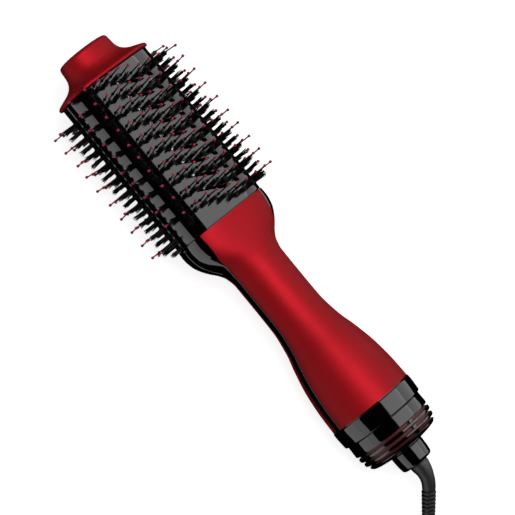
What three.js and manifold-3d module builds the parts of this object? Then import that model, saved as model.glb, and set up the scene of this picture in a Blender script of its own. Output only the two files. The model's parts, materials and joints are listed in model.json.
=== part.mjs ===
// Corded hot-air styling brush: a vented oval barrel with rows of bristle pins, a waisted handle of
// two shells on a black frame, a rotating selector ring, an intake cup and a swivelling cord.
// Millimetres. In the brush's own frame +X runs from the tip to the cord, +Y across the wide face
// and +Z out of the front face. The finished part lies on its back face, on a floor at Z = 0.
import * as THREE from "three";
import { mergeVertices } from "three/addons/utils/BufferGeometryUtils.js";
import Module from "manifold-3d";

const wasm = await Module();
wasm.setup();

// ---- driving dimensions ------------------------------------------------------------------------
const GAP = 0.3; // clearance between pieces that touch

// Places along the axis, measured from the tip.
const CAP_END = 24;
const BARREL_START = CAP_END + GAP;
const BARREL_END = 144;
const SHELL_START = BARREL_END + GAP;
const SHELL_END = 300;
const RING_START = SHELL_END + GAP;
const RING_END = 313;
const CUP_START = RING_END + GAP;
const CUP_END = 337.3;
const HUB_END = 350;

// Barrel section: a superellipse, nearly a rounded rectangle.
const BARREL = { a: 34.5, b: 21.8, n: 3 };
const BARREL_WALL = 1.8;
const HANDLE_WALL = 2;

// Bristle rows on the two wide faces, and the vent slots between them.
const ROWS = 10;
const ROW_PITCH = 11.13;
const FIRST_ROW = 23.2;
const ROW_SHIFT = 7.2; // half-way shift of a row, at the centre of the face
const ROW_SWING = 4.7; // how far a row slants either side of that
const ROW_BEND = 9; // distance over which the slant fades out
const COLUMN_PITCH = 6.65;
const COLUMNS = 5; // columns of pins either side of the crown
const PIN_REACH = 17.3; // beyond the barrel's surface
const PIN_RADIUS = 1.1;
const CARRIER_LIFT = 1.5;
const CARRIER = { thick: 1.1, wide: 1.5 };
const SLOT_WIDTH = 2.4;
const SLOT_LEAD = 4; // a slot lies this far before its row of pins
const LONG_SLOT_HALF = 12;
const SHORT_SLOT_AT = 18;
const SHORT_SLOT_LENGTH = 4.6;
const SIDE_ROW_RIGHT = 29.4;
const SIDE_ROW_LEFT = 36.3;

// Turned parts at the base of the handle.
const BASE_RADIUS = 31.4;
const NECK_RADIUS = 27.1; // fixed tube inside the selector ring
const NECK_WALL = 1.8;
const CUP_RADIUS = 29.5;
const CUP_WALL = 1.8;
const HUB_RADIUS = 12.4;
const CORE_RADIUS = 6.9;

// The part lies with its last row of back pins and the selector ring on the floor.
const LAST_ROW_X = FIRST_ROW + (ROWS - 1) * ROW_PITCH + ROW_SHIFT + ROW_SWING;
const PIN_TIP_DROP = BARREL.b + PIN_REACH;
const TILT = Math.asin((PIN_TIP_DROP - BASE_RADIUS) / (RING_START - LAST_ROW_X));

// Strain relief: it leaves along the axis and droops to the side in one plane.
const DROOP = THREE.MathUtils.degToRad(55); // direction of the droop below the horizontal, on the -Y side
const RELIEF_START = HUB_END + GAP;
const RELIEF_STRAIGHT = 2.7;
const RELIEF_BEND_RADIUS = 21.7;
const RELIEF_BEND = THREE.MathUtils.degToRad(42);
const RELIEF_LENGTH = 40;

// Cord, in the frame of the floor.
const CORD_RADIUS = 3.75;
const CORD_ROUTE = [
  [207.9, -11.6, 10.6],
  [213.8, -14.8, 6.6],
  [219.1, -17.6, 4.6],
  [224.5, -20.5, 3.9],
  [233.2, -25.5, 3.9],
  [241.7, -30.4, 3.9],
];
const COIL_CENTRE = [299.4, 0.5];
const COIL_INNER = 28.7;
const COIL_OUTER = 59.4;
const COIL_BASE = 1.4;
const COIL_TOP = 17;
const PLUG_ROUTE = [
  [346, -42.8, 13],
  [354.5, -40.5, 13],
  [362.7, -38.3, 13],
];
const PLUG_START = [364.3, -37.8];

// ---- helpers -------------------------------------------------------------------------------------
function solidOf(geometry) {
  const plain = geometry.clone();
  plain.deleteAttribute("normal");
  plain.deleteAttribute("uv");
  const merged = mergeVertices(plain, 1e-4);
  const triVerts = new Uint32Array(merged.index.array);
  const vertProperties = new Float32Array(merged.attributes.position.array);
  const made = new wasm.Manifold(new wasm.Mesh({ numProp: 3, vertProperties, triVerts }));
  if (made.volume() >= 0) return made;
  for (let i = 0; i < triVerts.length; i += 3) {
    [triVerts[i + 1], triVerts[i + 2]] = [triVerts[i + 2], triVerts[i + 1]];
  }
  return new wasm.Manifold(new wasm.Mesh({ numProp: 3, vertProperties, triVerts }));
}

function geometryOf(solid) {
  const mesh = solid.getMesh();
  const geometry = new THREE.BufferGeometry();
  geometry.setAttribute("position", new THREE.BufferAttribute(mesh.vertProperties, 3));
  geometry.setIndex(new THREE.BufferAttribute(mesh.triVerts, 1));
  geometry.computeVertexNormals();
  return geometry;
}

const join = (solids) => solids.reduce((sum, solid) => sum.add(solid));
const cut = (solid, tools) => solid.subtract(join(tools));

const signedPower = (value, power) => Math.sign(value) * Math.abs(value) ** power;

// A point of a superellipse at an angle from +Y towards +Z.
function ovalPoint({ a, b, n }, angle) {
  return new THREE.Vector2(
    a * signedPower(Math.cos(angle), 2 / n),
    b * signedPower(Math.sin(angle), 2 / n),
  );
}

// A closed solid of oval sections { x, a, b, n } along X, made from a turned profile.
function ovalTurn(stations, sides = 32) {
  const last = stations.length - 1;
  const profile = [
    new THREE.Vector2(0, 0),
    ...stations.map((_, i) => new THREE.Vector2(1, i)),
    new THREE.Vector2(0, last),
  ];
  const lathe = new THREE.LatheGeometry(profile, sides);
  const position = lathe.attributes.position;
  for (let i = 0; i < position.count; i++) {
    const [across, along, out] = [position.getX(i), position.getY(i), position.getZ(i)];
    const station = stations[Math.round(along)];
    const rim = ovalPoint(station, Math.atan2(out, across));
    const reach = Math.hypot(across, out) > 0.5 ? 1 : 0;
    position.setXYZ(i, station.x, rim.x * reach, rim.y * reach);
  }
  return solidOf(lathe);
}

// A turned solid about X from points [x, radius]; it closes on the axis at both ends.
function turn(points, sides = 24) {
  const profile = points.map(([x, radius]) => new THREE.Vector2(radius, x));
  profile.unshift(new THREE.Vector2(0, points[0][0]));
  profile.push(new THREE.Vector2(0, points[points.length - 1][0]));
  const lathe = new THREE.LatheGeometry(profile, sides);
  return solidOf(lathe.rotateZ(-Math.PI / 2));
}

const rod = (x0, x1, radius, sides = 16) =>
  turn([[x0, radius], [x1, radius]], sides);
const tube = (x0, x1, outer, inner, sides = 24) =>
  rod(x0, x1, outer, sides).subtract(rod(x0 - 1, x1 + 1, inner, sides));

function box(x0, x1, y0, y1, z0, z1) {
  const geometry = new THREE.BoxGeometry(x1 - x0, y1 - y0, z1 - z0);
  return solidOf(geometry.translate((x0 + x1) / 2, (y0 + y1) / 2, (z0 + z1) / 2));
}

// A round peg of the given radius between two points.
function peg(from, to, radius, sides = 10, tipRadius = radius) {
  const [start, end] = [new THREE.Vector3(...from), new THREE.Vector3(...to)];
  const way = end.clone().sub(start);
  const geometry = new THREE.CylinderGeometry(tipRadius, radius, way.length(), sides);
  const turnTo = new THREE.Quaternion().setFromUnitVectors(
    new THREE.Vector3(0, 1, 0),
    way.clone().normalize(),
  );
  geometry.applyQuaternion(turnTo).translate(...start.add(end).multiplyScalar(0.5).toArray());
  return solidOf(geometry);
}

// A round tube along a smooth curve through the points.
function sweep(points, radius, sides, steps) {
  const path = new THREE.CatmullRomCurve3(points.map((p) => new THREE.Vector3(...p)));
  const section = new THREE.Shape();
  for (let i = 0; i < sides; i++) {
    const angle = (2 * Math.PI * i) / sides;
    const [x, y] = [radius * Math.cos(angle), radius * Math.sin(angle)];
    if (i === 0) section.moveTo(x, y);
    else section.lineTo(x, y);
  }
  const options = { extrudePath: path, steps, bevelEnabled: false };
  return solidOf(new THREE.ExtrudeGeometry(section, options));
}

// The block over an outline [x, z] in the side view, as wide as the whole brush.
function sideBlock(outline) {
  const shape = new THREE.Shape(outline.map(([x, z]) => new THREE.Vector2(x, z)));
  const width = 120;
  const geometry = new THREE.ExtrudeGeometry(shape, { depth: width, bevelEnabled: false });
  return solidOf(geometry.rotateX(Math.PI / 2).translate(0, width / 2, 0));
}

// A sector of a flat ring about X, from one angle to another, measured from +Y towards +Z.
function sector(x0, x1, inner, outer, from, to) {
  const shape = new THREE.Shape();
  const [a0, a1] = [from, to].map(THREE.MathUtils.degToRad);
  shape.absarc(0, 0, outer, a0, a1, false);
  shape.absarc(0, 0, inner, a1, a0, true);
  const curveSegments = Math.ceil((to - from) / 12) + 1;
  const options = { depth: x1 - x0, bevelEnabled: false, curveSegments };
  const geometry = new THREE.ExtrudeGeometry(shape, options);
  const basis = new THREE.Matrix4().makeBasis(
    new THREE.Vector3(0, 1, 0),
    new THREE.Vector3(0, 0, 1),
    new THREE.Vector3(1, 0, 0),
  );
  return solidOf(geometry.applyMatrix4(basis).translate(x0, 0, 0));
}

// ---- the skin of the handle ------------------------------------------------------------------------
// Half-width a and half-depth b of the handle at places along the axis.
const HANDLE_OUTLINE = [
  [144.3, 35, 22],
  [150, 35.3, 21.8],
  [157, 34.3, 21.2],
  [162, 32.2, 20.7],
  [167, 28.8, 20.2],
  [172, 24.5, 19.6],
  [177, 21.4, 19],
  [185, 19.9, 18.6],
  [206, 19.8, 18.8],
  [222, 19.9, 19.2],
  [240, 22, 22],
  [253, 25.4, 25.4],
  [271, 29, 29],
  [288, 30.6, 30.6],
  [300, 31, 31],
];

// The section is as square as the barrel's at the shoulder and round below the waist.
const squareness = (x) => THREE.MathUtils.clamp(3 - (x - 151) / 25, 2, 3);

function handleStations(inset, from = SHELL_START, to = SHELL_END) {
  const inside = HANDLE_OUTLINE.map(([x, a, b]) => ({
    x,
    a: a - inset,
    b: b - inset,
    n: squareness(x),
  }));
  inside[0].x = from;
  inside[inside.length - 1].x = to;
  return inside;
}

const HANDLE_SIDES = 24;
const handleOuter = ovalTurn(handleStations(0), HANDLE_SIDES);
const handleInner = ovalTurn(
  handleStations(HANDLE_WALL, SHELL_START - 1, SHELL_END + 1),
  HANDLE_SIDES,
);
const handleSkin = handleOuter.subtract(handleInner);

// Half-width of the black frame between the two shells, in the side view.
const SEAM = [
  [140, 17.4],
  [150, 17.4],
  [157, 16.5],
  [163, 14.1],
  [170.6, 9.8],
  [175, 6.6],
  [182, 4.3],
  [188, 3.8],
  [302, 3.8],
];
const seam = (inset, side) => SEAM.map(([x, z]) => [x, side * (z - inset)]);
const above = (side) =>
  sideBlock([...seam(0, side), [302, side * 60], [140, side * 60]]);
const between = sideBlock([...seam(GAP, 1), ...seam(GAP, -1).reverse()]);

// ---- bristle rows ------------------------------------------------------------------------------
// How far along the axis a row has moved at a place across the wide face.
const rowShift = (across) => ROW_SHIFT + ROW_SWING * Math.tanh(across / ROW_BEND);

// The barrel's surface at a distance round the rim from the crown of the front face.
function rimPlace(distance) {
  const steps = 400;
  let last = ovalPoint(BARREL, Math.PI / 2);
  let walked = 0;
  for (let i = 1; i <= steps; i++) {
    const next = ovalPoint(BARREL, (Math.PI / 2) * (1 - i / steps));
    walked += next.distanceTo(last);
    if (walked >= Math.abs(distance)) break;
    last = next;
  }
  const { a, b, n } = BARREL;
  const normal = new THREE.Vector2((last.x / a) ** (n - 1) / a, (last.y / b) ** (n - 1) / b);
  normal.normalize();
  const side = Math.sign(distance);
  return { y: side * last.x, z: last.y, ny: side * normal.x, nz: normal.y };
}

// Where a point of a row lies: a distance round the rim, a height over it and an offset along X.
function rowPoint(index, face, distance, lift, offset) {
  const rim = rimPlace(distance);
  return [
    FIRST_ROW + index * ROW_PITCH + rowShift(distance) + offset,
    face * (rim.y + rim.ny * lift),
    face * (rim.z + rim.nz * lift),
  ];
}

// One row of pins on a slanting carrier; the back face is the front turned half round.
function pinRow(index, face) {
  const { thick, wide } = CARRIER;
  const columns = 2 * COLUMNS + 1;
  const strip = new THREE.BoxGeometry(columns * COLUMN_PITCH, thick, wide, columns, 1, 1);
  const position = strip.attributes.position;
  for (let i = 0; i < position.count; i++) {
    const [distance, lift, offset] = [position.getX(i), position.getY(i), position.getZ(i)];
    position.setXYZ(i, ...rowPoint(index, face, distance, CARRIER_LIFT + lift, offset));
  }
  const pins = [];
  for (let column = -COLUMNS; column <= COLUMNS; column++) {
    const at = (lift) => rowPoint(index, face, column * COLUMN_PITCH, lift, 0);
    pins.push(peg(at(CARRIER_LIFT), at(PIN_REACH), PIN_RADIUS - 0.35, 3, 0.7));
  }
  return join([solidOf(strip), ...pins]);
}

// The column of pins down the middle of a narrow side, on one straight carrier.
function sidePins(side, first) {
  const { thick, wide } = CARRIER;
  const y = (lift) => side * (BARREL.a + lift);
  const at = (i) => first + i * ROW_PITCH;
  const pins = Array.from({ length: ROWS }, (_, i) =>
    peg([at(i), y(CARRIER_LIFT), 0], [at(i), y(PIN_REACH), 0], PIN_RADIUS - 0.45, 4, 0.6),
  );
  const faces = [y(CARRIER_LIFT - thick / 2), y(CARRIER_LIFT + thick / 2)].sort((m, n) => m - n);
  const carrier = box(first - 2, at(ROWS - 1) + 2, ...faces, -wide / 2, wide / 2);
  return join([carrier, ...pins]);
}

// ---- barrel ------------------------------------------------------------------------------------
function longSlot(index) {
  const middle = FIRST_ROW + index * ROW_PITCH + rowShift(0) - SLOT_LEAD;
  const slant = Math.atan2(2 * ROW_SWING, 2 * LONG_SLOT_HALF);
  const geometry = new THREE.BoxGeometry(SLOT_WIDTH, 2 * LONG_SLOT_HALF, 8);
  return solidOf(geometry.rotateZ(-slant).translate(middle, 0, BARREL.b));
}

function shortSlot(index, side) {
  const middle = FIRST_ROW + index * ROW_PITCH + rowShift(side * SHORT_SLOT_AT) - SLOT_LEAD;
  const [half, reach] = [SLOT_WIDTH / 2, SHORT_SLOT_LENGTH / 2];
  const y = side * (SHORT_SLOT_AT + 0.6);
  return box(middle - half, middle + half, y - reach, y + reach, BARREL.b - 6, BARREL.b + 4);
}

function barrelHalf(face) {
  const { a, b, n } = BARREL;
  const outer = ovalTurn([{ x: BARREL_START, a, b, n }, { x: BARREL_END, a, b, n }], 32);
  const [ia, ib] = [a - BARREL_WALL, b - BARREL_WALL];
  const inner = ovalTurn([{ x: 20, a: ia, b: ib, n }, { x: 150, a: ia, b: ib, n }], 32);
  const half = outer.subtract(inner).intersect(box(20, 150, -40, 40, GAP / 2, 40));
  const slots = [];
  for (let index = 1; index < ROWS; index++) {
    slots.push(longSlot(index), shortSlot(index, 1), shortSlot(index, -1));
  }
  const cutHalf = cut(half, slots);
  return face > 0 ? cutHalf : cutHalf.rotate([180, 0, 0]);
}

function tipCap() {
  const outer = [
    [0, 17.6, 13.4],
    [1, 19.1, 14.7],
    [10, 20.3, 15.8],
    [14, 21.8, 16.9],
    [17, 25.3, 18.8],
    [20.2, 33, 22.6],
    [22, 36, 23.9],
    [CAP_END, 36.2, 24],
  ];
  const inner = [
    [2.6, 17.4, 12.9],
    [12, 18.6, 13.9],
    [17.8, 22, 16.3],
    [21.4, 30.6, 19.4],
    [CAP_END + 1, 32.7, 20.6],
  ];
  const oval = ([x, a, b]) => ({ x, a, b, n: 2.2 + (0.8 * x) / CAP_END });
  const shell = ovalTurn(outer.map(oval), 28).subtract(ovalTurn(inner.map(oval), 28));
  const boss = rod(1.5, 18, 4.5, 10).subtract(rod(4, 19, 1.8, 10));
  return shell.add(boss);
}

// A spine inside the barrel that carries the two halves and takes the cap's screw.
function barrelCore() {
  const shaft = rod(18.5, 141, 5, 10);
  const ribs = [34, 84, 134].map((x) =>
    box(x, x + 2, -31.4, 31.4, -3, 3).add(box(x, x + 2, -5, 5, -18.6, 18.6)),
  );
  return join([shaft, ...ribs]).subtract(rod(17, 31, 1.8, 10)).subtract(rod(30, 142, 3.2, 10));
}

const screw = (headAt, tipAt, headRadius, radius) => {
  const towards = Math.sign(tipAt - headAt);
  const neck = headAt + towards * 2;
  const points = [[headAt, headRadius], [neck, headRadius], [neck, radius], [tipAt, radius]];
  return turn(towards > 0 ? points : points.reverse(), 10);
};

// ---- heater ------------------------------------------------------------------------------------
const HEATER_START = 156;
const HEATER_END = 214;
const COIL_RADIUS = 10.4;

const micaCross = () =>
  box(HEATER_START, HEATER_END, -9.4, 9.4, -0.4, 0.4).add(
    box(HEATER_START, HEATER_END, -0.4, 0.4, -9.4, 9.4),
  );

function heaterCoil() {
  const [turns, perTurn] = [6, 8];
  const points = [];
  for (let i = 0; i <= turns * perTurn; i++) {
    const angle = (2 * Math.PI * i) / perTurn;
    const x = HEATER_START + 3 + ((HEATER_END - HEATER_START - 6) * i) / (turns * perTurn);
    points.push([x, 1.09 * COIL_RADIUS * Math.cos(angle), 1.09 * COIL_RADIUS * Math.sin(angle)]);
  }
  return sweep(points, 0.55, 4, turns * perTurn);
}

// ---- fan and motor -----------------------------------------------------------------------------
const FAN_START = 284;
const FAN_END = 292;
const FAN_RADIUS = 22.5;
const MOTOR_START = 250;
const MOTOR_END = 281;
const MOTOR_RADIUS = 13.8;
const SHAFT_RADIUS = 1.2;

function fanRotor() {
  const blades = 7;
  const hub = turn([[FAN_START, 8], [FAN_END - 3, 8], [FAN_END, 5]], 14);
  const shaft = rod(MOTOR_END - 8, FAN_START + 1, SHAFT_RADIUS, 8);
  const parts = [hub, shaft];
  for (let i = 0; i < blades; i++) {
    const blade = new THREE.BoxGeometry(1.2, 9.5, FAN_RADIUS - 7);
    blade.rotateZ(THREE.MathUtils.degToRad(50));
    blade.translate((FAN_START + FAN_END) / 2, 0, (FAN_RADIUS + 7) / 2);
    parts.push(solidOf(blade.rotateX((2 * Math.PI * i) / blades)));
  }
  return join(parts);
}

const motor = () =>
  turn(
    [
      [MOTOR_START, 5],
      [MOTOR_START + 2, 5],
      [MOTOR_START + 2, MOTOR_RADIUS],
      [MOTOR_END, MOTOR_RADIUS],
    ],
    20,
  ).subtract(rod(MOTOR_END - 9, MOTOR_END + 1, SHAFT_RADIUS + GAP, 8));

function motorMount() {
  const [x0, x1] = [262, 270];
  const collar = tube(x0, x1, MOTOR_RADIUS + 2, MOTOR_RADIUS + GAP, 20);
  const rim = tube(x0, x1, 24.3, 22.9, 24);
  const spokes = [0, 1, 2].map((i) =>
    box(x0 + 1, x1 - 1, -0.9, 0.9, MOTOR_RADIUS + 1, 23.5).rotate([120 * i + 30, 0, 0]),
  );
  return join([collar, rim, ...spokes]);
}

// ---- frame and shells --------------------------------------------------------------------------
const SCREW_X = 236;
const SCREW_Y = 9;

// A socket ring a little inside the shells' wall.
function socketRing(x0, x1, depth) {
  const whole = ovalTurn(handleStations(HANDLE_WALL + GAP), HANDLE_SIDES);
  const bore = ovalTurn(handleStations(HANDLE_WALL + GAP + depth, 140, 304), HANDLE_SIDES);
  return whole.subtract(bore).intersect(box(x0, x1, -50, 50, -50, 50));
}

function midFrame() {
  const strips = handleSkin.intersect(between);
  const bridges = [1, -1].flatMap((side) => {
    const across = (near, far) => [side * near, side * far].sort((m, n) => m - n);
    return [
      box(146.5, 149.5, ...across(29, 34), -8, 8),
      box(295.2, 298.2, ...across(26, 30), -1.8, 1.8),
      box(144.6, 146.4, ...across(33.6, 35.5), -4, 4),
    ];
  });
  return join([strips, socketRing(146, 150, 2.4), socketRing(295, 298.5, 1.6), ...bridges]);
}

function handleShell(side) {
  const shell = handleSkin.intersect(above(side));
  const at = [SCREW_Y, -SCREW_Y];
  const bosses = at.map((y) =>
    peg([SCREW_X, y, side * 18.4], [SCREW_X, y, side * 1], 3.4, 8),
  );
  const bores = at.map((y) => peg([SCREW_X, y, side * 12], [SCREW_X, y, 0], 1.7, 8));
  const wells = at.flatMap((y) => [
    peg([SCREW_X, y, -30], [SCREW_X, y, 0], 1.7, 8),
    peg([SCREW_X, y, -30], [SCREW_X, y, -16.5], 2.5, 8),
  ]);
  return cut(join([shell, ...bosses]), side > 0 ? bores : wells);
}

const shellScrew = (y) =>
  peg([SCREW_X, y, -17], [SCREW_X, y, 11], 1.3, 8).add(
    peg([SCREW_X, y, -16.8], [SCREW_X, y, -18.6], 2.1, 8),
  );

// ---- selector and base -------------------------------------------------------------------------
const DETENTS = 4;
const SELECTOR_TRAVEL = 90;
const FINGER = { x0: 304.6, x1: 306.4, from: 84, to: 96 };

function selectorRing() {
  const r = BASE_RADIUS;
  const outer = turn(
    [
      [RING_START, r - 0.6],
      [RING_START + 0.5, r],
      [RING_START + 5, r - 0.1],
      [RING_END - 0.5, r - 0.7],
      [RING_END, r - 1.2],
    ],
    32,
  );
  const ring = outer.subtract(rod(RING_START - 1, RING_END + 1, NECK_RADIUS + 2 * GAP, 32));
  const finger = sector(FINGER.x0, FINGER.x1, 21, NECK_RADIUS + 1.5, FINGER.from, FINGER.to);
  const notches = Array.from({ length: DETENTS }, (_, i) => {
    const angle = THREE.MathUtils.degToRad(-90 - (i * SELECTOR_TRAVEL) / (DETENTS - 1));
    const [y, z] = [Math.cos(angle), Math.sin(angle)].map((part) => part * (NECK_RADIUS + GAP));
    return peg([302, y, z], [305, y, z], 0.8, 6);
  });
  return cut(ring.add(finger), notches);
}

const contactWiper = () =>
  sector(306.7, 307.3, 19.4, 24.4, 86, 94).add(sector(307, 308.2, 20.4, 21.4, 86, 94));

const switchPlate = () => tube(308.5, 310, 24.9, 18.6, 28);

// A leaf behind the neck's wall, with a nose that reaches through it to the ring's notches.
const detentSpring = () =>
  sector(302.4, 304.6, 24.3, 24.8, -106, -74).add(sector(302.8, 304.2, 24.5, 27.2, -91.5, -88.5));

function intakeCup() {
  const outer = turn(
    [
      [CUP_START, CUP_RADIUS - 0.2],
      [321.5, CUP_RADIUS],
      [329.8, CUP_RADIUS - 1.1],
      [333, 27],
      [335, 25],
      [336.2, 19.7],
      [CUP_END, HUB_RADIUS + 0.1],
    ],
    24,
  );
  const hollow = turn(
    [
      [CUP_START + CUP_WALL, NECK_RADIUS - NECK_WALL],
      [316.5, CUP_RADIUS - CUP_WALL - 0.1],
      [321.5, CUP_RADIUS - CUP_WALL],
      [329.8, CUP_RADIUS - CUP_WALL - 1.1],
      [332.3, 25.1],
      [333.6, 23.4],
      [334.4, 18.6],
      [335.2, 12],
    ],
    24,
  );
  const neck = tube(299, CUP_START + 0.5, NECK_RADIUS, NECK_RADIUS - NECK_WALL, 24);
  const throat = rod(298, CUP_START + 2, NECK_RADIUS - NECK_WALL, 24);
  const shell = outer.subtract(hollow).add(neck).subtract(throat);
  const window = sector(303.6, 307.4, 20, 30, 78, 78 + SELECTOR_TRAVEL + 24);
  const noseSlot = sector(302.4, 304.6, 22, 30, -94, -86);
  const hubHole = rod(333, 339, 8.6, 16);
  return cut(shell, [window, noseSlot, hubHole, ...intakeSlots()]);
}

// Three rows of slots round the cup, each row four quarters parted by narrow ribs.
function intakeSlots() {
  const [rows, pitch, width, rib] = [3, 4.35, 2, 5];
  const slots = [];
  for (let row = 0; row < rows; row++) {
    const x = 322.3 + row * pitch;
    for (let quarter = 0; quarter < 4; quarter++) {
      slots.push(sector(x, x + width, 24.6, 32, 90 * quarter + rib / 2, 90 * (quarter + 1) - rib / 2));
    }
  }
  return slots;
}

// Red filter sleeve just inside the slots.
const intakeLiner = () =>
  turn([[320, 27.1], [329.6, 26], [332, 24.6]], 24).subtract(
    turn([[319.5, 26.4], [329.6, 25.3], [332.5, 23.6]], 24),
  );

const cordHub = () =>
  turn(
    [
      [CUP_END + GAP, HUB_RADIUS],
      [HUB_END - 2, HUB_RADIUS - 0.8],
      [HUB_END - 0.6, HUB_RADIUS - 1.3],
      [HUB_END, HUB_RADIUS - 2.6],
    ],
    24,
  )
    .add(rod(CUP_END - 1.7, CUP_END + 1, 8.3, 16))
    .subtract(rod(334, 352, CORE_RADIUS + GAP, 20));

const swivelCore = () =>
  rod(332.6, HUB_END, CORE_RADIUS, 20)
    .add(rod(332.6, 334.4, 9.6, 20))
    .subtract(rod(332, 351, CORD_RADIUS + 0.4, 14));

// A straight turned piece bent along the strain relief's plane curve.
function reliefPlace(run) {
  const bendRun = RELIEF_BEND_RADIUS * RELIEF_BEND;
  const turned = THREE.MathUtils.clamp(run - RELIEF_STRAIGHT, 0, bendRun);
  const angle = turned / RELIEF_BEND_RADIUS;
  const straight = run - turned;
  const before = Math.min(run, RELIEF_STRAIGHT);
  const after = straight - before;
  return {
    x: RELIEF_START + before + RELIEF_BEND_RADIUS * Math.sin(angle) + after * Math.cos(angle),
    drop: RELIEF_BEND_RADIUS * (1 - Math.cos(angle)) + after * Math.sin(angle),
    angle,
  };
}

function strainRelief() {
  const points = [
    [0, 6.7],
    [3, 6.6],
    [8, 5.6],
    [13, 4.8],
    [19, 4.5],
    [22, 4.4],
    [40, 4],
  ];
  const fine = [];
  points.slice(1).forEach(([end, endRadius], i) => {
    const [start, startRadius] = points[i];
    const steps = Math.ceil((end - start) / 4);
    for (let k = 0; k < steps; k++) {
      const share = k / steps;
      fine.push([start + (end - start) * share, startRadius + (endRadius - startRadius) * share]);
    }
  });
  fine.push([RELIEF_LENGTH, 4]);
  const profile = [[0, 0], ...fine.map(([run, radius]) => [radius, run]), [0, RELIEF_LENGTH]];
  const lathe = new THREE.LatheGeometry(
    profile.map(([r, run]) => new THREE.Vector2(r, run)),
    10,
  );
  const position = lathe.attributes.position;
  for (let i = 0; i < position.count; i++) {
    const [inPlane, run, sideways] = [position.getX(i), position.getY(i), position.getZ(i)];
    const place = reliefPlace(run);
    const x = place.x - inPlane * Math.sin(place.angle);
    const drop = place.drop + inPlane * Math.cos(place.angle);
    const y = -drop * Math.cos(DROOP) - sideways * Math.sin(DROOP);
    const z = -drop * Math.sin(DROOP) + sideways * Math.cos(DROOP);
    position.setXYZ(i, x, y, z);
  }
  return solidOf(lathe);
}

const leadWire = (y) =>
  sweep(
    [
      [331.8, y, 1],
      [323, 2 * y, 6],
      [314, 3.4 * y, 15],
      [311, 3.8 * y, 19.5],
    ],
    0.9,
    6,
    4,
  );

// ---- cord, coil and plug ------------------------------------------------------------------------
const cordTube = () => sweep(CORD_ROUTE, CORD_RADIUS, 10, 8);
const plugLead = () => sweep(PLUG_ROUTE, CORD_RADIUS, 10, 3);

function cordCoil() {
  const [cx, cy] = COIL_CENTRE;
  const bevel = 2.4;
  const profile = [
    [COIL_INNER + bevel, COIL_BASE],
    [COIL_OUTER - bevel, COIL_BASE],
    [COIL_OUTER, COIL_BASE + bevel],
    [COIL_OUTER, COIL_TOP - bevel],
    [COIL_OUTER - bevel, COIL_TOP],
    [COIL_INNER + bevel, COIL_TOP],
    [COIL_INNER, COIL_TOP - bevel],
    [COIL_INNER, COIL_BASE + bevel],
    [COIL_INNER + bevel, COIL_BASE],
  ].map(([r, z]) => new THREE.Vector2(r, z));
  const lathe = new THREE.LatheGeometry(profile, 28).rotateX(Math.PI / 2);
  return solidOf(lathe.translate(cx, cy, 0));
}

// A strap closed round the coil's section.
function cordTie() {
  const [cx, cy] = COIL_CENTRE;
  const [half, thick] = [5, 0.8];
  const loop = (grow) =>
    box(cx - half, cx + half, cy + COIL_INNER - grow, cy + COIL_OUTER + grow,
      COIL_BASE - grow, COIL_TOP + grow);
  const opening = box(cx - 2 * half, cx + 2 * half, cy + COIL_INNER - 2 * GAP,
    cy + COIL_OUTER + GAP, COIL_BASE - GAP, COIL_TOP + GAP);
  return loop(2 * GAP + thick).intersect(box(-999, 999, -999, 999, 0.02, 99)).subtract(opening);
}

const PLUG = { length: 62, width: 34, height: 26 };

function plugBody() {
  const { length, width, height } = PLUG;
  const round = 6;
  const shape = new THREE.Shape();
  const [hw, l] = [width / 2, length];
  shape.moveTo(0, -5);
  shape.lineTo(8, -hw + 3);
  shape.lineTo(8 + round, -hw);
  shape.lineTo(l - 3, -hw);
  shape.lineTo(l, -hw + 3);
  shape.lineTo(l, hw - 3);
  shape.lineTo(l - 3, hw);
  shape.lineTo(8 + round, hw);
  shape.lineTo(8, hw - 3);
  shape.lineTo(0, 5);
  const options = {
    depth: height - 2,
    bevelEnabled: true,
    bevelThickness: 1,
    bevelSize: 1,
    bevelOffset: -1,
    bevelSegments: 1,
  };
  const [x, y] = PLUG_START;
  const body = solidOf(new THREE.ExtrudeGeometry(shape, options).translate(x, y, 1));
  const wells = [24, 42].map((at) =>
    box(x + at - 4.4, x + at + 4.4, y - 6.4, y + 6.4, height - 4, height + 1),
  );
  return cut(body, wells);
}

const plugButton = (at) => {
  const [x, y] = PLUG_START;
  const cap = box(x + at - 4, x + at + 4, y - 6, y + 6, PLUG.height - 3, PLUG.height + 1);
  return cap;
};

const plugBlade = (side) => {
  const x = PLUG_START[0] + PLUG.length + GAP;
  const y = PLUG_START[1] + side * 6.35;
  const blade = box(x, x + 16.5, y - 0.75, y + 0.75, 9.8, 16.2);
  return blade.subtract(peg([x + 12, y - 2, 13], [x + 12, y + 2, 13], 1.4, 8));
};

// ---- materials ---------------------------------------------------------------------------------
const finish = (color, roughness, metalness = 0) =>
  new THREE.MeshStandardMaterial({ color, roughness, metalness });
const RED = finish(0xa8141f, 0.42);
const GLOSS_BLACK = finish(0x0b0b0c, 0.12);
const BRISTLE = finish(0x101010, 0.5);
const RUBBER = finish(0x161616, 0.6);
const STEEL = finish(0xa9abb0, 0.3, 1);
const BRASS = finish(0xb08d45, 0.35, 1);
const MICA = finish(0xc9bfa2, 0.7);
const NYLON = finish(0xd9d6cc, 0.5);

// ---- assembly ----------------------------------------------------------------------------------
const brush = new THREE.Group();
const laid = new THREE.Group(); // pieces placed in the frame of the floor

function place(group, name, solid, material) {
  const mesh = new THREE.Mesh(geometryOf(solid), material);
  mesh.name = name;
  group.add(mesh);
}

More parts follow.
